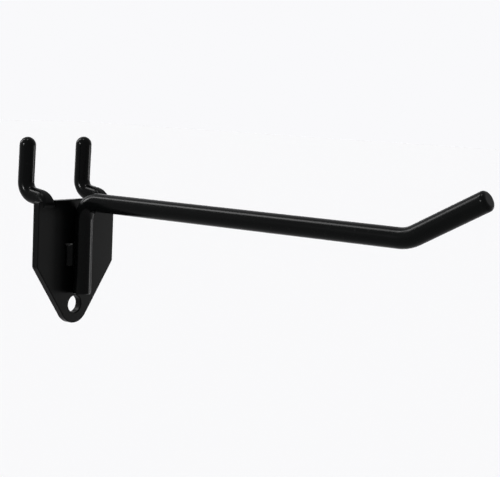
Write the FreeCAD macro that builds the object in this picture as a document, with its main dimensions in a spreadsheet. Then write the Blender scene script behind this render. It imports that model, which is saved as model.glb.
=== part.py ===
"""A pegboard hook: a stamped back plate with two formed pegs, and a bent rod welded to its face.

The frame has X to the right as seen from the front, Y into the board and Z up. The origin lies on the
plate's back face, midway between the centres of the two board holes. Sizes are in millimetres.
"""

import FreeCAD, Part
import Sketcher
import math
import os

from FreeCAD import Placement, Rotation, Vector

# Driving dimensions: alias, value and meaning.
DRIVING = [
    ("peg_spacing", 25.4, "distance between the pegs: one pitch of the board's holes"),
    ("peg_dia", 5.3, "diameter of a peg"),
    ("peg_back", 8.6, "distance from the plate's back face to where a peg's run and upright would cross"),
    ("peg_lean", 1.75, "lean of the upright towards the board, in degrees"),
    ("peg_bend", 4.3, "centreline radius of the bend below the upright"),
    ("run_rise", 9.0, "rise of a peg's run through the board's hole, in degrees"),
    ("run_low", 0.2, "depth of the run's start below the hole's centre"),
    ("peg_rise", 19.0, "height of the peg's domed end above the hole's centre"),
    ("tab_spare", 0.1, "width of the flat tab that a peg grows from, beyond the peg's diameter"),
    ("bend_inside", 0.3, "radius left inside the bend that turns a tab back from the plate"),
    ("tab_edge", 0.35, "corner radius of the tab's section at its root"),
    ("corner_share", 0.48, "corner radius of the tab's section near the peg, over the peg's diameter"),
    ("plate_width", 34.4, "width of the plate"),
    ("plate_thick", 2.4, "thickness of the plate"),
    ("plate_top", -0.8, "height of the plate's top edge above the board holes' centres"),
    ("side_length", 21.2, "height of the plate's straight sides, corner to corner"),
    ("plate_height", 40.6, "height of the plate from its top edge to the tongue's end"),
    ("tongue_round", 6.2, "radius of the tongue's round end"),
    ("corner_round", 1.1, "radius of the plate's top corners"),
    ("shoulder_round", 1.6, "radius where a side meets its taper"),
    ("edge_round", 0.3, "rolled-over edge round the plate's front face"),
    ("hole_bevel", 0.3, "bevel at the screw hole's front rim"),
    ("screw_dia", 5.6, "diameter of the screw hole"),
    ("rod_dia", 6.0, "diameter of the rod"),
    ("arm_drop", 1.2, "depth of the arm's axis below the centres of the board holes"),
    ("elbow_bend", 6.0, "centreline radius of the elbow between leg and arm"),
    ("hole_clear", 1.0, "clear height between the leg's lower end and the screw hole"),
    ("arm_length", 122.0, "distance from the leg's axis to where the arm and tip axes cross"),
    ("tip_length", 27.0, "length of the upturned tip beyond that crossing"),
    ("tip_angle", 28.0, "rise of the tip above the arm, in degrees"),
    ("tip_bend", 11.0, "centreline radius of the bend at the tip"),
    ("tip_round", 1.3, "rounding of the rod's free end"),
    ("cut_bevel", 0.35, "bevel round the leg's lower end"),
    ("weld_length", 7.4, "length of a weld bead"),
    ("weld_below", 13.6, "depth of a weld bead's upper end below the arm's axis"),
    ("weld_width", 1.8, "reach of a weld bead on the plate, beyond the rod's side"),
    ("weld_wrap", 20.0, "angle round the rod that a weld bead covers from the rod's side, in degrees"),
    ("weld_root", 0.9, "distance from the line of contact to a weld bead's root"),
]

# Derived places, in the sheet's own formulas.
DERIVED = [
    ("half_width", "=plate_width / 2"),
    ("left_side", "=-plate_width / 2"),
    ("side_end", "=plate_top - side_length"),
    ("hole_centre", "=plate_top - plate_height + tongue_round"),
    ("peg_left", "=-peg_spacing / 2"),
    ("peg_right", "=peg_spacing / 2"),
    ("peg_edge", "=peg_dia * corner_share"),
    ("peg_flat", "=peg_dia / 2 - peg_edge"),
    ("peg_flat_back", "=-peg_flat"),
    ("gap_top", "=plate_top + plate_thick"),
    ("mid_plate", "=-plate_thick / 2"),
    ("front_face", "=-plate_thick"),
    ("tab_width", "=peg_dia + tab_spare"),
    ("tab_bend", "=peg_dia / 2 + bend_inside"),
    ("tab_turn", "=90 - run_rise"),
    ("tab_root", "=-run_low - tab_bend * sin(tab_turn)"),
    ("run_start", "=tab_bend * (1 - cos(tab_turn)) - plate_thick / 2"),
    ("run_level", "=-run_low"),
    ("corner_level", "=run_level + (peg_back - run_start) * tan(run_rise)"),
    ("dome_centre", "=peg_rise - peg_dia / 2"),
    ("dome_y", "=peg_back - (dome_centre - corner_level) * tan(peg_lean)"),
    ("leg_axis", "=-plate_thick - rod_dia / 2"),
    ("leg_end", "=hole_centre + screw_dia / 2 + hole_clear"),
    ("arm_axis", "=-arm_drop"),
    ("tip_corner", "=leg_axis - arm_length"),
    ("tip_y", "=tip_corner - tip_length * cos(tip_angle)"),
    ("tip_z", "=arm_axis + tip_length * sin(tip_angle)"),
    ("weld_end", "=arm_axis - weld_below - weld_length"),
    ("weld_outer", "=rod_dia / 2 + weld_width"),
]

# The sketcher counts a line's ends and an arc's centre from 1, and its own two axes down from -1.
START, END, CENTRE = range(1, 4)
Y_AXIS, X_AXIS = range(-2, 0)
ORIGIN_POINT = (X_AXIS, START)

QUARTER = math.pi / 2
TAB_STEPS = 4  # lengths of loft in a tab's bend
PLANE_SLACK = 1e-5  # how far an edge may stray from a plane that it counts as lying in

doc = FreeCAD.newDocument("pegboard_hook")
sheet = doc.addObject("Spreadsheet::Sheet", "Sizes")
for row, (alias, value, note) in enumerate(DRIVING, start=1):
    sheet.set(f"A{row}", note)
    sheet.set(f"B{row}", str(value))
    sheet.setAlias(f"B{row}", alias)
for row, (alias, formula) in enumerate(DERIVED, start=len(DRIVING) + 1):
    sheet.set(f"B{row}", formula)
    sheet.setAlias(f"B{row}", alias)
doc.recompute()


def size(alias):
    """The number that the sheet holds under an alias."""
    return float(getattr(sheet, alias))


def new_body(label):
    """An empty body, labelled with the name of its file."""
    body = doc.addObject("PartDesign::Body", label)
    body.Label = label
    return body


def origin_plane(body, role):
    """One of the body's own origin planes."""
    return next(item for item in body.Origin.OriginFeatures if item.Role == role)


def add_sketch(body, name, role, offset=(), rotation=Rotation()):
    """A sketch on one of the body's origin planes, shifted by aliases along the plane's directions."""
    sketch = body.newObject("Sketcher::SketchObject", name)
    sketch.AttachmentSupport = [(origin_plane(body, role), "")]
    sketch.MapMode = "FlatFace"
    sketch.AttachmentOffset = Placement(Vector(), rotation)
    for axis, alias in zip("xyz", offset):
        if alias:
            sketch.setExpression(f"AttachmentOffset.Base.{axis}", f"Sizes.{alias}")
    return sketch


def constrain(sketch, name, constraint, expression):
    """Adds a named constraint and ties it to the sheet."""
    index = sketch.addConstraint(constraint)
    sketch.renameConstraint(index, name)
    sketch.setExpression(f"Constraints.{name}", expression)


def add_circle(sketch, alias):
    """A circle round the sketch's origin, of the diameter under the alias."""
    circle = sketch.addGeometry(Part.Circle(Vector(), Vector(0, 0, 1), size(alias) / 2))
    sketch.addConstraint(Sketcher.Constraint("Coincident", circle, CENTRE, *ORIGIN_POINT))
    constrain(sketch, "dia", Sketcher.Constraint("Diameter", circle, size(alias)), f"Sizes.{alias}")


def pin_point(sketch, name, geometry, position, x_alias, y_alias):
    """Places a point of a sketch at two aliases. None means that the axis passes through it."""
    for kind, alias, axis in (("DistanceX", x_alias, Y_AXIS), ("DistanceY", y_alias, X_AXIS)):
        if alias is None:
            sketch.addConstraint(Sketcher.Constraint("PointOnObject", geometry, position, axis))
        else:
            start = Sketcher.Constraint(kind, *ORIGIN_POINT, geometry, position, size(alias))
            constrain(sketch, f"{name}_{kind[-1]}", start, f"Sizes.{alias}")


def point_at(x_alias, y_alias):
    """A sketch point at two aliases, None being zero."""
    return Vector(*(size(alias) if alias else 0.0 for alias in (x_alias, y_alias)), 0)


def arc_from(first, last, centre, leftward):
    """An arc between two points, and the ends of it that lie at the first and at the last."""
    begin, finish = (first, last) if leftward else (last, first)
    angles = [math.atan2(place.y - centre.y, place.x - centre.x) for place in (begin, finish)]
    if angles[1] < angles[0]:
        angles[1] += 2 * math.pi
    circle = Part.Circle(centre, Vector(0, 0, 1), centre.distanceToPoint(first))
    return Part.ArcOfCircle(circle, *angles), (START, END) if leftward else (END, START)


def bend_between(before, corner, after, radius):
    """The tangent points, the arc and the order of its ends that round the corner of a path."""
    inward, outward = (before - corner).normalize(), (after - corner).normalize()
    half = inward.getAngle(outward) / 2
    first, last = (corner + way * (radius / math.tan(half)) for way in (inward, outward))
    centre = corner + (inward + outward).normalize() * (radius / math.sin(half))
    leftward = (corner - before).cross(after - corner).z > 0
    return first, last, *arc_from(first, last, centre, leftward)


def add_path(sketch, points, radii):
    """An open path of straight runs through points, with a tangent arc at each inner one.

    A point is a name and two aliases. The runs' lines and arcs are joined by tangency, and each inner
    point is kept where its two runs would cross.
    """
    places = [point_at(x_alias, y_alias) for _, x_alias, y_alias in points]
    bends = [bend_between(*places[i:i + 3], size(radii[i])) for i in range(len(radii))]
    starts = [places[0]] + [bend[1] for bend in bends]
    ends = [bend[0] for bend in bends] + [places[-1]]
    runs = [sketch.addGeometry(Part.LineSegment(a, b)) for a, b in zip(starts, ends)]
    for i, (_, _, arc, (near, far)) in enumerate(bends):
        bend = sketch.addGeometry(arc)
        sketch.addConstraint(Sketcher.Constraint("Tangent", runs[i], END, bend, near))
        sketch.addConstraint(Sketcher.Constraint("Tangent", runs[i + 1], START, bend, far))
        name, x_alias, y_alias = points[i + 1]
        corner = sketch.addGeometry(Part.Point(places[i + 1]), True)
        for run in (runs[i], runs[i + 1]):
            sketch.addConstraint(Sketcher.Constraint("PointOnObject", corner, START, run))
        pin_point(sketch, name, corner, START, x_alias, y_alias)
        radius = Sketcher.Constraint("Radius", bend, size(radii[i]))
        constrain(sketch, f"{name}_bend", radius, f"Sizes.{radii[i]}")
    pin_point(sketch, points[0][0], runs[0], START, *points[0][1:])
    pin_point(sketch, points[-1][0], runs[-1], END, *points[-1][1:])


def add_section(sketch, width, height, corner):
    """A rounded rectangle round the sketch's origin. Its three sizes are numbers with expressions."""
    r = corner[0]
    x, y = width[0] / 2 - r, height[0] / 2 - r
    centres = [Vector(x, -y, 0), Vector(x, y, 0), Vector(-x, y, 0), Vector(-x, -y, 0)]
    arcs, sides = [], []
    for i, centre in enumerate(centres):
        circle = Part.Circle(centre, Vector(0, 0, 1), r)
        arc = Part.ArcOfCircle(circle, (i - 1) * QUARTER, i * QUARTER)
        arcs.append(sketch.addGeometry(arc))
    for i, centre in enumerate(centres):
        outward = Vector(math.cos(i * QUARTER), math.sin(i * QUARTER), 0) * r
        side = Part.LineSegment(centre + outward, centres[(i + 1) % 4] + outward)
        sides.append(sketch.addGeometry(side))
    for i in range(4):
        sketch.addConstraint(Sketcher.Constraint("Tangent", arcs[i], END, sides[i], START))
        sketch.addConstraint(Sketcher.Constraint("Tangent", sides[i], END, arcs[(i + 1) % 4], START))
        upright = "Vertical" if i % 2 == 0 else "Horizontal"
        sketch.addConstraint(Sketcher.Constraint(upright, sides[i]))
    for other in arcs[1:]:
        sketch.addConstraint(Sketcher.Constraint("Equal", arcs[0], other))
    middle = Sketcher.Constraint("Symmetric", arcs[0], CENTRE, arcs[2], CENTRE, *ORIGIN_POINT)
    sketch.addConstraint(middle)
    across = Sketcher.Constraint("DistanceX", sides[2], START, sides[0], START, width[0])
    constrain(sketch, "width", across, width[1])
    upward = Sketcher.Constraint("DistanceY", sides[3], START, sides[1], START, height[0])
    constrain(sketch, "height", upward, height[1])
    constrain(sketch, "corner", Sketcher.Constraint("Radius", arcs[0], r), corner[1])


def add_split_circle(sketch):
    """The peg's circle in eight arcs, four long and four short, to match a rounded rectangle's edges."""
    radius, flat = size("peg_dia") / 2, size("peg_flat")
    spread = math.asin(flat / radius)
    circle = Part.Circle(Vector(), Vector(0, 0, 1), radius)
    arcs = []
    for i in range(4):
        middle = i * QUARTER
        short = Part.ArcOfCircle(circle, middle - spread, middle + spread)
        long = Part.ArcOfCircle(circle, middle + spread, middle + QUARTER - spread)
        arcs += [sketch.addGeometry(short), sketch.addGeometry(long)]
    for arc in arcs:
        sketch.addConstraint(Sketcher.Constraint("Coincident", arc, CENTRE, *ORIGIN_POINT))
    for arc, onward in zip(arcs, arcs[1:]):
        sketch.addConstraint(Sketcher.Constraint("Coincident", arc, END, onward, START))
    sketch.addConstraint(Sketcher.Constraint("Horizontal", arcs[-1], END, arcs[0], START))
    dia = Sketcher.Constraint("Diameter", arcs[0], 2 * radius)
    constrain(sketch, "dia", dia, "Sizes.peg_dia")
    ends = (("DistanceY", "peg_flat"), ("DistanceX", "peg_flat_back"))
    for i in range(4):
        kind, alias = ends[i % 2]
        other = "peg_flat" if alias == "peg_flat_back" else "peg_flat_back"
        first, last = (alias, other) if i < 2 else (other, alias)
        for end, name in ((END, first), (START, last)):
            place = Sketcher.Constraint(kind, *ORIGIN_POINT, arcs[2 * i], end, size(name))
            constrain(sketch, f"short_{i}_{end}", place, f"Sizes.{name}")


def plate_outline(sketch):
    """The plate's outline: square above, with tapers that run into the tongue's round end."""
    half, top, low = size("half_width"), size("plate_top"), size("side_end")
    centre, radius = Vector(0, size("hole_centre"), 0), size("tongue_round")
    corner, shoulder = size("corner_round"), size("shoulder_round")
    right, left = Vector(half, low, 0), Vector(-half, low, 0)
    reach = (right - centre).Length
    swing = math.atan2(right.y - centre.y, right.x) - math.acos(radius / reach)
    touch_right = centre + Vector(math.cos(swing), math.sin(swing), 0) * radius
    touch_left = Vector(-touch_right.x, touch_right.y, 0)
    top_right, top_left = Vector(half, top, 0), Vector(-half, top, 0)
    corners = [
        bend_between(touch_left, left, top_left, shoulder),
        bend_between(left, top_left, top_right, corner),
        bend_between(top_left, top_right, right, corner),
        bend_between(top_right, right, touch_right, shoulder),
    ]
    corners.append((touch_right, touch_left, *arc_from(touch_right, touch_left, centre, False)))
    lines = [
        sketch.addGeometry(Part.LineSegment(corners[i - 1][1], corners[i][0]))
        for i in range(len(corners))
    ]
    arcs = [sketch.addGeometry(corner[2]) for corner in corners]
    for i, (_, _, _, (near, far)) in enumerate(corners):
        sketch.addConstraint(Sketcher.Constraint("Tangent", lines[i], END, arcs[i], near))
        onward = lines[(i + 1) % len(lines)]
        sketch.addConstraint(Sketcher.Constraint("Tangent", onward, START, arcs[i], far))
    for line, kind in ((lines[1], "Vertical"), (lines[2], "Horizontal"), (lines[3], "Vertical")):
        sketch.addConstraint(Sketcher.Constraint(kind, line))
    shoulders = (("left", "left_side", 1, 0), ("right", "half_width", 3, 4))
    for name, x_alias, side, taper in shoulders:
        point = sketch.addGeometry(Part.Point(point_at(x_alias, "side_end")), True)
        for line in (lines[side], lines[taper]):
            sketch.addConstraint(Sketcher.Constraint("PointOnObject", point, START, line))
        pin_point(sketch, name, point, START, x_alias, "side_end")
    pin_point(sketch, "tongue", arcs[4], CENTRE, None, "hole_centre")
    top_edge = Sketcher.Constraint("DistanceY", *ORIGIN_POINT, lines[2], START, top)
    constrain(sketch, "top", top_edge, "Sizes.plate_top")
    rounds = ["shoulder_round", "corner_round", "corner_round", "shoulder_round", "tongue_round"]
    for i, alias in enumerate(rounds):
        radius = Sketcher.Constraint("Radius", arcs[i], size(alias))
        constrain(sketch, f"round_{i}", radius, f"Sizes.{alias}")


def add_pipe(body, name, profile, path):
    """Sweeps a profile along a path."""
    pipe = body.newObject("PartDesign::AdditivePipe", name)
    pipe.Profile = profile
    pipe.Spine = (path, [])
    return pipe


def dress_edges(body, kind, name, alias, chosen):
    """Rounds or bevels the edges of the body's tip that the function picks."""
    doc.recompute()
    base = body.Tip
    names = [f"Edge{i}" for i, edge in enumerate(base.Shape.Edges, start=1) if chosen(edge)]
    dressed = body.newObject(f"PartDesign::{kind}", name)
    dressed.Base = (base, names)
    dressed.setExpression("Radius" if kind == "Fillet" else "Size", f"Sizes.{alias}")


def in_plane(edge, point, normal):
    """Whether all of an edge lies in a plane."""
    places = edge.discretize(Number=5)
    return all(abs((place - point).dot(normal)) < PLANE_SLACK for place in places)


def cut_through(body, name, sketch):
    """Cuts a sketch of the front view through the plate."""
    pocket = body.newObject("PartDesign::Pocket", name)
    pocket.Profile = sketch
    pocket.Type = "ThroughAll"
    pocket.Reversed = True


def cut_tab_gap(body, side, x_alias):
    """The gap that a tab leaves in the plate's top edge when it is bent back."""
    gap = add_sketch(body, f"{side}_gap_outline", "XZ_Plane", (x_alias,))
    half, root, top = size("tab_width") / 2, size("tab_root"), size("gap_top")
    corners = [Vector(x, y, 0) for x, y in ((-half, root), (half, root), (half, top), (-half, top))]
    pairs = zip(corners, corners[1:] + corners[:1])
    sides = [gap.addGeometry(Part.LineSegment(a, b)) for a, b in pairs]
    for i in range(4):
        gap.addConstraint(Sketcher.Constraint("Coincident", sides[i], END, sides[(i + 1) % 4], START))
    for i, kind in ((1, "Vertical"), (2, "Horizontal"), (3, "Vertical")):
        gap.addConstraint(Sketcher.Constraint(kind, sides[i]))
    gap.addConstraint(Sketcher.Constraint("Symmetric", sides[0], START, sides[0], END, Y_AXIS))
    across = Sketcher.Constraint("DistanceX", sides[0], START, sides[0], END, 2 * half)
    constrain(gap, "across", across, "Sizes.tab_width")
    for name, line, alias in (("low", sides[0], "tab_root"), ("high", sides[2], "gap_top")):
        level = Sketcher.Constraint("DistanceY", *ORIGIN_POINT, line, START, size(alias))
        constrain(gap, name, level, f"Sizes.{alias}")
    cut_through(body, f"{side}_gap", gap)


def add_tab(body, side, x_alias):
    """The tab's bend, lofted through sections that turn from the flat tab to the round peg."""
    growth = (("tab_width", "peg_dia"), ("plate_thick", "peg_dia"), ("tab_edge", "peg_edge"))
    sections = []
    for step in range(TAB_STEPS + 1):
        share = step / TAB_STEPS
        turn, tilt = f"Sizes.tab_turn * {share}", Rotation(Vector(-1, 0, 0), size("tab_turn") * share)
        sketch = add_sketch(body, f"{side}_section_{step}", "XY_Plane", (x_alias,), tilt)
        sketch.setExpression("AttachmentOffset.Rotation.Angle", turn)
        back = f"Sizes.mid_plate + Sizes.tab_bend * (1 - cos({turn}))"
        rise = f"Sizes.tab_root + Sizes.tab_bend * sin({turn})"
        sketch.setExpression("AttachmentOffset.Base.y", back)
        sketch.setExpression("AttachmentOffset.Base.z", rise)
        sections.append(sketch)
        if step == TAB_STEPS:
            add_split_circle(sketch)
            break
        grown = []
        for first, last in growth:
            number = size(first) * (1 - share) + size(last) * share
            grown.append((number, f"Sizes.{first} * {1 - share} + Sizes.{last} * {share}"))
        add_section(sketch, *grown)
    tab = body.newObject("PartDesign::AdditiveLoft", f"{side}_tab")
    tab.Profile = sections[0]
    tab.Sections = sections[1:]


def add_peg(body, side, x_alias):
    """The round peg: a short run through the board's hole, a bend, the upright and its domed end."""
    path = add_sketch(body, f"{side}_peg_path", "YZ_Plane", (None, None, x_alias))
    add_path(
        path,
        [
            ("start", "run_start", "run_level"),
            ("corner", "peg_back", "corner_level"),
            ("end", "dome_y", "dome_centre"),
        ],
        ["peg_bend"],
    )
    slope = Rotation(Vector(1, 0, 0), size("run_rise"))
    circle = add_sketch(body, f"{side}_peg_circle", "XZ_Plane", (x_alias, "run_level"), slope)
    circle.setExpression("AttachmentOffset.Base.z", "-Sizes.run_start")
    circle.setExpression("AttachmentOffset.Rotation.Angle", "Sizes.run_rise")
    add_circle(circle, "peg_dia")
    add_pipe(body, f"{side}_peg", circle, path)

    dome = body.newObject("PartDesign::AdditiveSphere", f"{side}_dome")
    dome.AttachmentSupport = [(origin_plane(body, "XY_Plane"), "")]
    dome.MapMode = "FlatFace"
    dome.Angle1 = 0
    dome.setExpression("Radius", "Sizes.peg_dia / 2")
    dome.AttachmentOffset = Placement(Vector(), Rotation(Vector(1, 0, 0), size("peg_lean")))
    dome.setExpression("AttachmentOffset.Rotation.Angle", "Sizes.peg_lean")
    for axis, alias in zip("xyz", (x_alias, "dome_y", "dome_centre")):
        dome.setExpression(f"AttachmentOffset.Base.{axis}", f"Sizes.{alias}")


def make_backplate():
    """The stamped plate: outline, screw hole, and two tabs bent back and formed into J-shaped pegs."""
    body = new_body("backplate")
    outline = add_sketch(body, "outline", "XZ_Plane")
    plate_outline(outline)
    blank = body.newObject("PartDesign::Pad", "blank")
    blank.Profile = outline
    blank.setExpression("Length", "Sizes.plate_thick")

    circle = add_sketch(body, "screw_circle", "XZ_Plane", (None, "hole_centre"))
    add_circle(circle, "screw_dia")
    cut_through(body, "screw_hole", circle)
    face, normal = point_at(None, "front_face"), Vector(0, 1, 0)
    rims = (("Chamfer", "hole_rim", "hole_bevel", True), ("Fillet", "front_edge", "edge_round", False))
    for kind, name, alias, closed in rims:
        dress_edges(
            body, kind, name, alias,
            lambda edge: in_plane(edge, face, normal) and edge.isClosed() == closed,
        )

    for side, x_alias in (("left", "peg_left"), ("right", "peg_right")):
        cut_tab_gap(body, side, x_alias)
        add_tab(body, side, x_alias)
        add_peg(body, side, x_alias)
    return body


def make_hook_rod():
    """The rod: a leg down the plate's face, an elbow, the arm and its upturned tip."""
    body = new_body("hook_rod")
    path = add_sketch(body, "rod_path", "YZ_Plane")
    add_path(
        path,
        [
            ("foot", "leg_axis", "leg_end"),
            ("elbow", "leg_axis", "arm_axis"),
            ("turn", "tip_corner", "arm_axis"),
            ("end", "tip_y", "tip_z"),
        ],
        ["elbow_bend", "tip_bend"],
    )
    circle = add_sketch(body, "rod_circle", "XY_Plane", (None, "leg_axis", "leg_end"))
    add_circle(circle, "rod_dia")
    add_pipe(body, "bar", circle, path)

    foot, level = Vector(0, size("leg_axis"), size("leg_end")), Vector(0, 0, 1)
    dress_edges(body, "Chamfer", "foot_edge", "cut_bevel", lambda edge: in_plane(edge, foot, level))
    rise = math.radians(size("tip_angle"))
    end, along = Vector(0, size("tip_y"), size("tip_z")), Vector(0, -math.cos(rise), math.sin(rise))
    dress_edges(body, "Fillet", "tip_edge", "tip_round", lambda edge: in_plane(edge, end, along))
    return body


def make_weld_bead(label, left):
    """A fillet of weld in the corner between the leg's side and the plate."""
    body = new_body(label)
    flip = Rotation(Vector(0, 1, 0), 180) if left else Rotation()
    sketch = add_sketch(body, "section", "XY_Plane", (), flip)
    level = "Sizes.weld_end + Sizes.weld_length" if left else "Sizes.weld_end"
    sketch.setExpression("AttachmentOffset.Base.z", level)
    radius, axis, face = size("rod_dia") / 2, size("leg_axis"), size("front_face")
    wrap, root, outer = math.radians(size("weld_wrap")), size("weld_root"), size("weld_outer")
    centre = Vector(0, axis, 0)
    upper = centre + Vector(math.cos(wrap), math.sin(wrap), 0) * radius
    inner = centre + Vector(root, math.sqrt(radius**2 - root**2), 0)
    circle = Part.Circle(centre, Vector(0, 0, 1), radius)
    arc = Part.ArcOfCircle(circle, wrap, math.acos(root / radius))
    rod_side = sketch.addGeometry(arc)
    places = [inner, Vector(root, face, 0), Vector(outer, face, 0), upper]
    lines = [sketch.addGeometry(Part.LineSegment(a, b)) for a, b in zip(places, places[1:])]
    joins = ((rod_side, END, lines[0]), (lines[0], END, lines[1]), (lines[1], END, lines[2]))
    for first, position, second in joins:
        sketch.addConstraint(Sketcher.Constraint("Coincident", first, position, second, START))
    sketch.addConstraint(Sketcher.Constraint("Coincident", lines[2], END, rod_side, START))
    sketch.addConstraint(Sketcher.Constraint("Vertical", lines[0]))
    pin_point(sketch, "axis", rod_side, CENTRE, None, "leg_axis")
    pin_point(sketch, "root", lines[1], START, "weld_root", "front_face")
    pin_point(sketch, "outer", lines[1], END, "weld_outer", "front_face")
    constrain(sketch, "rod", Sketcher.Constraint("Radius", rod_side, radius), "Sizes.rod_dia / 2")
    height = Sketcher.Constraint("DistanceY", rod_side, CENTRE, rod_side, START, upper.y - axis)
    constrain(sketch, "wrap", height, "Sizes.rod_dia / 2 * sin(Sizes.weld_wrap)")
    bead = body.newObject("PartDesign::Pad", "bead")
    bead.Profile = sketch
    bead.setExpression("Length", "Sizes.weld_length")
    return body


bodies = [
    make_backplate(),
    make_hook_rod(),
    make_weld_bead("weld_bead_left", True),
    make_weld_bead("weld_bead_right", False),
]
doc.recompute()

for item in doc.Objects:
    if {"Invalid", "Error"} & set(item.State):
        raise RuntimeError(f"{item.Label} did not build: {item.State}")
for body in bodies:
    shape = body.Shape
    if shape.isNull() or not shape.isValid() or len(shape.Solids) != 1:
        raise RuntimeError(f"{body.Label} is not one valid solid")

os.makedirs("parts", exist_ok=True)
for body in bodies:
    body.Shape.exportStep(f"parts/{body.Label}.step")
    box = body.Shape.BoundBox
    print(
        f"{body.Label}: {body.Shape.Volume:.1f} mm3, X {box.XMin:.2f} to {box.XMax:.2f},",
        f"Y {box.YMin:.2f} to {box.YMax:.2f}, Z {box.ZMin:.2f} to {box.ZMax:.2f}",
    )
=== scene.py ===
"""The pegboard hook in a plain studio: a stamped plate, a bent rod and two welds, all coated black."""

import math

import bmesh
import bpy
from mathutils import Matrix, Vector


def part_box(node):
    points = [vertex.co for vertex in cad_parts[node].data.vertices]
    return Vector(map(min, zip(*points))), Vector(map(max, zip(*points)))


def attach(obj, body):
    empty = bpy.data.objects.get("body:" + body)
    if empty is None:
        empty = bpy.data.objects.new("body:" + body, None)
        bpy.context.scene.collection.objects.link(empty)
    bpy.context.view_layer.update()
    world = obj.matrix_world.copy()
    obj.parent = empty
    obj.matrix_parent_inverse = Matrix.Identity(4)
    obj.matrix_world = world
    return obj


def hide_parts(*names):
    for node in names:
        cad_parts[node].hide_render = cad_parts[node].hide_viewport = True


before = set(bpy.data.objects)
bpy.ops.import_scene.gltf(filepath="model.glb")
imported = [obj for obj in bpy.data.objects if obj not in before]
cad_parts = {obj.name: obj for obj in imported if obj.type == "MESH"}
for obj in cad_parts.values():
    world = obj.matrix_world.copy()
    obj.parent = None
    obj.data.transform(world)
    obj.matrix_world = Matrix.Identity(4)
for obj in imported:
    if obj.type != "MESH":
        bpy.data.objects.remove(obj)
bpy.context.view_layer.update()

MM = 0.001
SAME_PLACE = 1e-6  # how near two places are that count as one

# The baked coat: the sizes of its patterns, the larger the finer, and the detail in each.
NOISE_MIDDLE = 0.5
PEEL_DETAIL = 2.0
WAVE_SIZE, WAVE_DETAIL = 160.0, 3.0
DUST_SIZE, DUST_DETAIL = 900.0, 4.0
DUST_FAINT, DUST_FULL = 0.66, 0.78  # where in the dust's pattern a speckle begins, and where it is full
COAT_RELIEF = 0.05 * MM
COAT_SPECULAR = 0.045
COAT_BLACK = (0.0013, 0.0015, 0.0015, 1)
COAT_DUST = (0.006, 0.006, 0.006, 1)

# The flat sheet is duller than the pegs behind it. Both depths are counted from the plate's back face.
DULL_TO = -0.5 * MM  # up to here the sheet is dull
GLOSSY_FROM = 2.5 * MM  # and from here on the pegs have their full gloss

# The welds
WELD_SIDES = 18
WELD_DEPTH = 1.75 * MM  # how deep a weld's ridge is from its crest to its middle
WELD_SPREAD = 0.35 * MM  # how far a weld runs out over the plate beyond its plain solid
WELD_CROWDING = 0.6  # how far a weld's rings are drawn towards its blunt ends, from 0 to 1
WELD_INSETS = (0.3 * MM, 0.5 * MM)  # the steps inwards on each end, which keep the end blunt
WELD_ROUNDING = 2  # how many times a weld's surface is subdivided
WELD_SUNK = 0.1 * MM  # how far a weld runs into the plate
WELD_SLOPE = Vector((0.58, -0.38, 0.72))  # the way that the right weld's sloping upper end faces
WELD_CRATER = 0.8 * MM  # how far that slope reaches down the weld's crest
WELD_CREASE = 35  # degrees, above which an edge of a weld stays sharp

# A weld's rings from its lower end up: the share of its full section, and its stray to the side in mm.
SWELLS = (
    (0.84, 0.0), (0.95, 0.0), (1.0, 0.0), (0.95, -0.05), (0.98, -0.08), (0.93, -0.1), (0.97, -0.05),
    (0.93, -0.05), (1.0, 0.0), (0.96, 0.0), (1.0, -0.05), (1.0, 0.0), (0.93, 0.0),
)

# The floor and the page, which is the pale tone behind the hook.
FLOOR_LEVEL = -0.16
FLOOR_SIZE = 9.0
PAPER = (0.78, 0.78, 0.795, 1)  # the floor's own colour
PAPER_ROUGHNESS = 0.9
PAGE = (0.947, 0.947, 0.964, 1)
GLOW = 0.4  # how much of the floor's look is the page's even tone, and not light and shadow
ROOM_LIGHT = 0.1  # how strongly the world lights the hook

# Far soft lamps: the way to each, the angle that it fills in degrees, and its strength.
LAMPS = (
    ("above_high", (-0.2, 0.6, 0.8), 16, 1.05),
    ("above_middle", (-0.15, 0.77, 0.64), 14, 0.5),
    ("above_low", (-0.25, 0.9, 0.43), 18, 1.2),
    ("zenith", (-0.1, 0.02, 0.99), 14, 1.1),
    ("left_low", (-0.927, 0.265, 0.232), 7, 2.8),
)

# A small softbox that the plate's face mirrors, its right wing more than its left.
SOFTBOX_AIM = Vector((0, -2.4, -20)) * MM
SOFTBOX_RAY = Vector((0.784, -0.611, -0.108))  # from the plate towards the softbox
SOFTBOX_AWAY, SOFTBOX_ASIDE = 0.5, 0.085  # metres along that ray, and level across it
SOFTBOX_SIZE = (0.14, 0.16)
SOFTBOX_BEAM = 36  # degrees, so narrow that it lights the hook alone
SOFTBOX_POWER = 0.032

# The photograph's frame, in pixels, and the camera that was fitted to the plate and the arm in it.
FRAME_WIDTH, FRAME_HEIGHT = 500, 477
AZIMUTH, ELEVATION, ROLL = 52.5, 6.2, 2.45  # degrees: from the left, from above, and about the view
DISTANCE = 450 * MM
FOCAL_PIXELS = 1390
AIM = Vector((0, -5.4, -1.2)) * MM  # where the leg's axis meets the arm's
AIM_PIXEL = (84.4, 201.4)
SENSOR = 36.0
NEAREST = 10 * MM  # how near the camera sees


def deselect():
    """Leaves nothing selected, so that an operator acts on the new piece alone."""
    bpy.ops.object.select_all(action="DESELECT")


# The coat


def material(name):
    """A new node material, its tree, and its shader, which is linked to the output."""
    made = bpy.data.materials.new(name)
    made.use_nodes = True
    tree = made.node_tree
    tree.nodes.clear()
    output = tree.nodes.new("ShaderNodeOutputMaterial")
    shader = tree.nodes.new("ShaderNodeBsdfPrincipled")
    tree.links.new(shader.outputs["BSDF"], output.inputs["Surface"])
    return made, tree, shader


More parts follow.
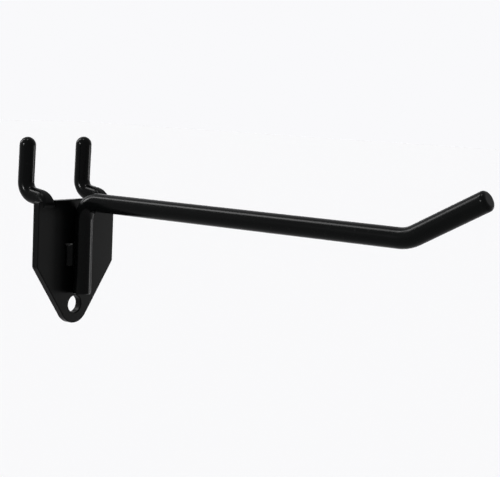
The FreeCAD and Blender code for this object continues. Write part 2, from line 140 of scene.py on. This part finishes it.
def coat_group():
    """Baked coating: a fine orange peel over slow waves, with speckles of dust caught in it."""
    group = bpy.data.node_groups.new("baked_coat", "ShaderNodeTree")
    face = group.interface
    for name, value in (("Peel Size", 1400.0), ("Peel Height", 0.25), ("Gloss Variation", 0.06)):
        face.new_socket(name, in_out="INPUT", socket_type="NodeSocketFloat").default_value = value
    for name in ("Height", "Roughness Shift", "Dust"):
        face.new_socket(name, in_out="OUTPUT", socket_type="NodeSocketFloat")
    nodes, links = group.nodes, group.links
    given, result = nodes.new("NodeGroupInput"), nodes.new("NodeGroupOutput")
    place = nodes.new("ShaderNodeTexCoord")

    peel = nodes.new("ShaderNodeTexNoise")
    peel.inputs["Detail"].default_value = PEEL_DETAIL
    links.new(place.outputs["Object"], peel.inputs["Vector"])
    links.new(given.outputs["Peel Size"], peel.inputs["Scale"])
    height = nodes.new("ShaderNodeMath")
    height.operation = "MULTIPLY"
    links.new(peel.outputs["Fac"], height.inputs[0])
    links.new(given.outputs["Peel Height"], height.inputs[1])
    links.new(height.outputs[0], result.inputs["Height"])

    waves = nodes.new("ShaderNodeTexNoise")
    waves.inputs["Scale"].default_value = WAVE_SIZE
    waves.inputs["Detail"].default_value = WAVE_DETAIL
    links.new(place.outputs["Object"], waves.inputs["Vector"])
    centred = nodes.new("ShaderNodeMath")
    centred.operation = "SUBTRACT"
    centred.inputs[1].default_value = NOISE_MIDDLE
    links.new(waves.outputs["Fac"], centred.inputs[0])
    shift = nodes.new("ShaderNodeMath")
    shift.operation = "MULTIPLY"
    links.new(centred.outputs[0], shift.inputs[0])
    links.new(given.outputs["Gloss Variation"], shift.inputs[1])
    links.new(shift.outputs[0], result.inputs["Roughness Shift"])

    dust = nodes.new("ShaderNodeTexNoise")
    dust.inputs["Scale"].default_value = DUST_SIZE
    dust.inputs["Detail"].default_value = DUST_DETAIL
    links.new(place.outputs["Object"], dust.inputs["Vector"])
    grains = nodes.new("ShaderNodeMapRange")
    grains.inputs["From Min"].default_value = DUST_FAINT
    grains.inputs["From Max"].default_value = DUST_FULL
    links.new(dust.outputs["Fac"], grains.inputs["Value"])
    links.new(grains.outputs["Result"], result.inputs["Dust"])
    return group


def black_coat(group, name, roughness, bump, peel_size, flat_roughness=None):
    """A black baked coat over steel, duller on the flat sheet where flat_roughness is given."""
    made, tree, shader = material(name)
    nodes, links = tree.nodes, tree.links
    coat = nodes.new("ShaderNodeGroup")
    coat.node_tree = group
    coat.inputs["Peel Size"].default_value = peel_size

    tint = nodes.new("ShaderNodeMix")
    tint.data_type = "RGBA"
    tint.inputs["A"].default_value = COAT_BLACK
    tint.inputs["B"].default_value = COAT_DUST
    links.new(coat.outputs["Dust"], tint.inputs["Factor"])
    links.new(tint.outputs["Result"], shader.inputs["Base Color"])

    gloss = nodes.new("ShaderNodeMath")
    gloss.operation = "ADD"
    gloss.inputs[1].default_value = roughness
    links.new(coat.outputs["Roughness Shift"], gloss.inputs[0])
    links.new(gloss.outputs[0], shader.inputs["Roughness"])
    if flat_roughness:
        place = nodes.new("ShaderNodeTexCoord")
        parts = nodes.new("ShaderNodeSeparateXYZ")
        links.new(place.outputs["Object"], parts.inputs["Vector"])
        behind = nodes.new("ShaderNodeMapRange")
        behind.inputs["From Min"].default_value = DULL_TO
        behind.inputs["From Max"].default_value = GLOSSY_FROM
        behind.inputs["To Min"].default_value = flat_roughness
        behind.inputs["To Max"].default_value = roughness
        links.new(parts.outputs["Y"], behind.inputs["Value"])
        links.new(behind.outputs["Result"], gloss.inputs[1])

    raised = nodes.new("ShaderNodeBump")
    raised.inputs["Strength"].default_value = bump
    raised.inputs["Distance"].default_value = COAT_RELIEF
    links.new(coat.outputs["Height"], raised.inputs["Height"])
    links.new(raised.outputs["Normal"], shader.inputs["Normal"])
    shader.inputs["Specular IOR Level"].default_value = COAT_SPECULAR
    return made


def dress(node, finish):
    """Gives a carried-over node its finish."""
    slots = node.data.materials
    slots.clear()
    slots.append(finish)


# The welds


def pick_ring(mesh, level):
    """Selects the vertices of an edited mesh that lie at a height."""
    bpy.ops.mesh.select_all(action="DESELECT")
    edited = bmesh.from_edit_mesh(mesh)
    for vertex in edited.verts:
        vertex.select = abs(vertex.co.z - level) < SAME_PLACE
    edited.select_flush(True)
    bmesh.update_edit_mesh(mesh)


def pick_upright_edges(mesh):
    """Selects the edges of an edited cylinder that run from end to end."""
    bpy.ops.mesh.select_mode(type="EDGE")
    bpy.ops.mesh.select_all(action="DESELECT")
    edited = bmesh.from_edit_mesh(mesh)
    for edge in edited.edges:
        low, high = sorted(vertex.co.z for vertex in edge.verts)
        edge.select = high - low > SAME_PLACE
    bmesh.update_edit_mesh(mesh)


def cut_away(point, facing):
    """Cuts the edited mesh along a plane, drops what lies beyond it and closes the cut."""
    bpy.ops.mesh.select_all(action="SELECT")
    bpy.ops.mesh.bisect(plane_co=point, plane_no=facing, clear_outer=True, threshold=SAME_PLACE)
    bpy.ops.mesh.select_all(action="SELECT")
    bpy.ops.mesh.fill_holes(sides=0)


def make_weld(name, node, side, swells, finish):
    """A run of weld down one side of the leg: a ridge that swells and narrows, with blunt ends."""
    low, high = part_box(node)
    middle = (Vector(low) + Vector(high)) / 2
    length = high[2] - low[2]
    across = (high[0] - low[0] + WELD_SPREAD) / 2
    centre = Vector((middle.x + side * WELD_SPREAD / 2, low[1] + WELD_DEPTH, middle.z))
    deselect()
    bpy.ops.mesh.primitive_cylinder_add(vertices=WELD_SIDES, radius=across, depth=length, location=centre)
    bead = bpy.context.object
    bead.name = name
    bead.data.name = name
    bpy.ops.object.transform_apply(location=True, rotation=True, scale=True)
    bpy.ops.object.mode_set(mode="EDIT")
    bpy.ops.mesh.select_all(action="SELECT")
    bpy.ops.transform.resize(value=(1, WELD_DEPTH / across, 1), center_override=centre)

    # The rings are cut and shaped from the ends inwards, so that none slides onto one not yet shaped.
    pick_upright_edges(bead.data)
    bpy.ops.mesh.subdivide(number_cuts=len(swells) - 2)
    bpy.ops.mesh.select_mode(type="VERT")
    last = len(swells) - 1
    for i in sorted(range(len(swells)), key=lambda ring: min(ring, last - ring)):
        swell, stray = swells[i]
        even, crowded = i / last, (1 - math.cos(math.pi * i / last)) / 2
        slide = length * (crowded - even) * WELD_CROWDING
        pick_ring(bead.data, low[2] + length * even)
        bpy.ops.transform.resize(value=(swell, swell, 1), center_override=centre)
        bpy.ops.transform.translate(value=(stray * side * MM, 0, slide))
    for end in (low[2], high[2]):
        pick_ring(bead.data, end)
        bpy.ops.mesh.select_mode(type="FACE")
        for step in WELD_INSETS:
            bpy.ops.mesh.inset(thickness=step)
        bpy.ops.mesh.select_mode(type="VERT")
    bpy.ops.object.mode_set(mode="OBJECT")
    smooth = bead.modifiers.new("smooth", "SUBSURF")
    smooth.levels = smooth.render_levels = WELD_ROUNDING
    bpy.ops.object.modifier_apply(modifier=smooth.name)

    # What lies deeper in the plate is cut away, and then the upper end is cut to its slope.
    bpy.ops.object.mode_set(mode="EDIT")
    cut_away((0, high[1] + WELD_SUNK, 0), (0, 1, 0))
    slope = WELD_SLOPE * Vector((side, 1, 1))
    crest = centre + Vector((slope.x * across, slope.y * WELD_DEPTH, 0)) / slope.xy.length
    crest.z = high[2] - WELD_CRATER
    cut_away(crest, slope)
    bpy.ops.mesh.select_all(action="SELECT")
    bpy.ops.mesh.normals_make_consistent(inside=False)
    bpy.ops.object.mode_set(mode="OBJECT")
    bpy.ops.object.shade_smooth_by_angle(angle=math.radians(WELD_CREASE))
    bead.data.materials.append(finish)
    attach(bead, "root")
    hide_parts(node)


# The stage


def seen_directly(nodes, links):
    """One for a ray from the camera, or through a reflection or glass, and zero for the rest."""
    path = nodes.new("ShaderNodeLightPath")
    either = nodes.new("ShaderNodeMath")
    either.operation = "MAXIMUM"
    links.new(path.outputs["Is Camera Ray"], either.inputs[0])
    links.new(path.outputs["Is Glossy Ray"], either.inputs[1])
    any_of = nodes.new("ShaderNodeMath")
    any_of.operation = "MAXIMUM"
    links.new(either.outputs[0], any_of.inputs[0])
    links.new(path.outputs["Is Transmission Ray"], any_of.inputs[1])
    return any_of.outputs[0]


def page_material():
    """The pale page: lit paper under an even white tone that the camera and reflections see."""
    made, tree, shader = material("pale_page")
    nodes, links = tree.nodes, tree.links
    shader.inputs["Base Color"].default_value = PAPER
    shader.inputs["Roughness"].default_value = PAPER_ROUGHNESS
    shader.inputs["Specular IOR Level"].default_value = 0.0
    tone = nodes.new("ShaderNodeEmission")
    share = nodes.new("ShaderNodeMath")
    share.operation = "MULTIPLY"
    share.inputs[1].default_value = GLOW
    links.new(seen_directly(nodes, links), share.inputs[0])
    mix = nodes.new("ShaderNodeMixShader")
    links.new(share.outputs[0], mix.inputs["Fac"])
    links.new(shader.outputs["BSDF"], mix.inputs[1])
    links.new(tone.outputs["Emission"], mix.inputs[2])
    links.new(mix.outputs["Shader"], nodes["Material Output"].inputs["Surface"])
    return made


def make_floor():
    """A wide pale floor, well below the hook, which hangs on its board."""
    deselect()
    bpy.ops.mesh.primitive_plane_add(size=FLOOR_SIZE, location=(0, 0, FLOOR_LEVEL))
    floor = bpy.context.object
    floor.name = "floor"
    floor.data.materials.append(page_material())


def make_world():
    """A dim even world that lights the hook a little and shows as the page."""
    world = bpy.data.worlds.new("studio")
    bpy.context.scene.world = world
    world.use_nodes = True
    nodes, links = world.node_tree.nodes, world.node_tree.links
    nodes.clear()
    fill = nodes.new("ShaderNodeBackground")
    fill.inputs["Color"].default_value = PAGE
    fill.inputs["Strength"].default_value = ROOM_LIGHT
    page = nodes.new("ShaderNodeBackground")
    page.inputs["Color"].default_value = PAGE
    page.inputs["Strength"].default_value = 1.0
    mix = nodes.new("ShaderNodeMixShader")
    links.new(seen_directly(nodes, links), mix.inputs["Fac"])
    links.new(fill.outputs["Background"], mix.inputs[1])
    links.new(page.outputs["Background"], mix.inputs[2])
    output = nodes.new("ShaderNodeOutputWorld")
    links.new(mix.outputs["Shader"], output.inputs["Surface"])


def place_lamp(name, data):
    """Puts a lamp with this data into the scene."""
    lamp = bpy.data.objects.new(name, data)
    bpy.context.scene.collection.objects.link(lamp)
    return lamp


def add_distant_lamp(name, direction, angle, strength):
    """A large far lamp, given by the way to it and the angle that it fills."""
    data = bpy.data.lights.new(name, "SUN")
    data.angle = math.radians(angle)
    data.energy = strength
    lamp = place_lamp(name, data)
    lamp.rotation_euler = (-Vector(direction)).to_track_quat("-Z", "Y").to_euler()


def add_softbox():
    """The small softbox, which the camera doesn't see itself."""
    data = bpy.data.lights.new("softbox", "AREA")
    data.shape = "RECTANGLE"
    data.size, data.size_y = SOFTBOX_SIZE
    data.energy = SOFTBOX_POWER
    data.spread = math.radians(SOFTBOX_BEAM)
    lamp = place_lamp("softbox", data)
    aside = SOFTBOX_RAY.cross(Vector((0, 0, -1))).normalized()
    lamp.location = SOFTBOX_AIM + SOFTBOX_RAY * SOFTBOX_AWAY + aside * SOFTBOX_ASIDE
    lamp.rotation_euler = (SOFTBOX_AIM - lamp.location).to_track_quat("-Z", "Y").to_euler()
    lamp.visible_camera = False


def make_camera():
    """The camera whose ray through the aim's pixel meets the aim at the fitted distance."""
    turn, rise, roll = (math.radians(value) for value in (AZIMUTH, ELEVATION, ROLL))
    forward = Vector((math.sin(turn) * math.cos(rise), math.cos(turn) * math.cos(rise), -math.sin(rise)))
    level = Vector((math.cos(turn), -math.sin(turn), 0))
    above = level.cross(forward)
    right = level * math.cos(roll) + above * math.sin(roll)
    up = above * math.cos(roll) - level * math.sin(roll)
    across = (AIM_PIXEL[0] - FRAME_WIDTH / 2) / FOCAL_PIXELS * DISTANCE
    down = (AIM_PIXEL[1] - FRAME_HEIGHT / 2) / FOCAL_PIXELS * DISTANCE
    data = bpy.data.cameras.new("camera")
    data.sensor_width = SENSOR
    data.lens = FOCAL_PIXELS / FRAME_WIDTH * SENSOR
    data.clip_start = NEAREST
    camera = bpy.data.objects.new("camera", data)
    bpy.context.scene.collection.objects.link(camera)
    camera.rotation_mode = "QUATERNION"
    camera.rotation_quaternion = Matrix((right, up, -forward)).transposed().to_quaternion()
    camera.location = AIM - right * across + up * down - forward * DISTANCE
    bpy.context.scene.camera = camera


baked_coat = coat_group()
rod_coat = black_coat(baked_coat, "coated_rod", roughness=0.2, bump=0.1, peel_size=1500.0)
plate_coat = black_coat(
    baked_coat, "coated_plate", roughness=0.2, bump=0.12, peel_size=1500.0, flat_roughness=0.32
)
weld_coat = black_coat(baked_coat, "coated_weld", roughness=0.22, bump=0.4, peel_size=900.0)
dress(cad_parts["backplate"], plate_coat)
dress(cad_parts["hook_rod"], rod_coat)
make_weld("weld_left", "weld_bead_left", -1, SWELLS, weld_coat)
make_weld("weld_right", "weld_bead_right", 1, SWELLS[::-1], weld_coat)

make_floor()
make_world()
for name, direction, angle, strength in LAMPS:
    add_distant_lamp(name, direction, angle, strength)
add_softbox()
make_camera()
bpy.context.scene.view_settings.view_transform = "Standard"
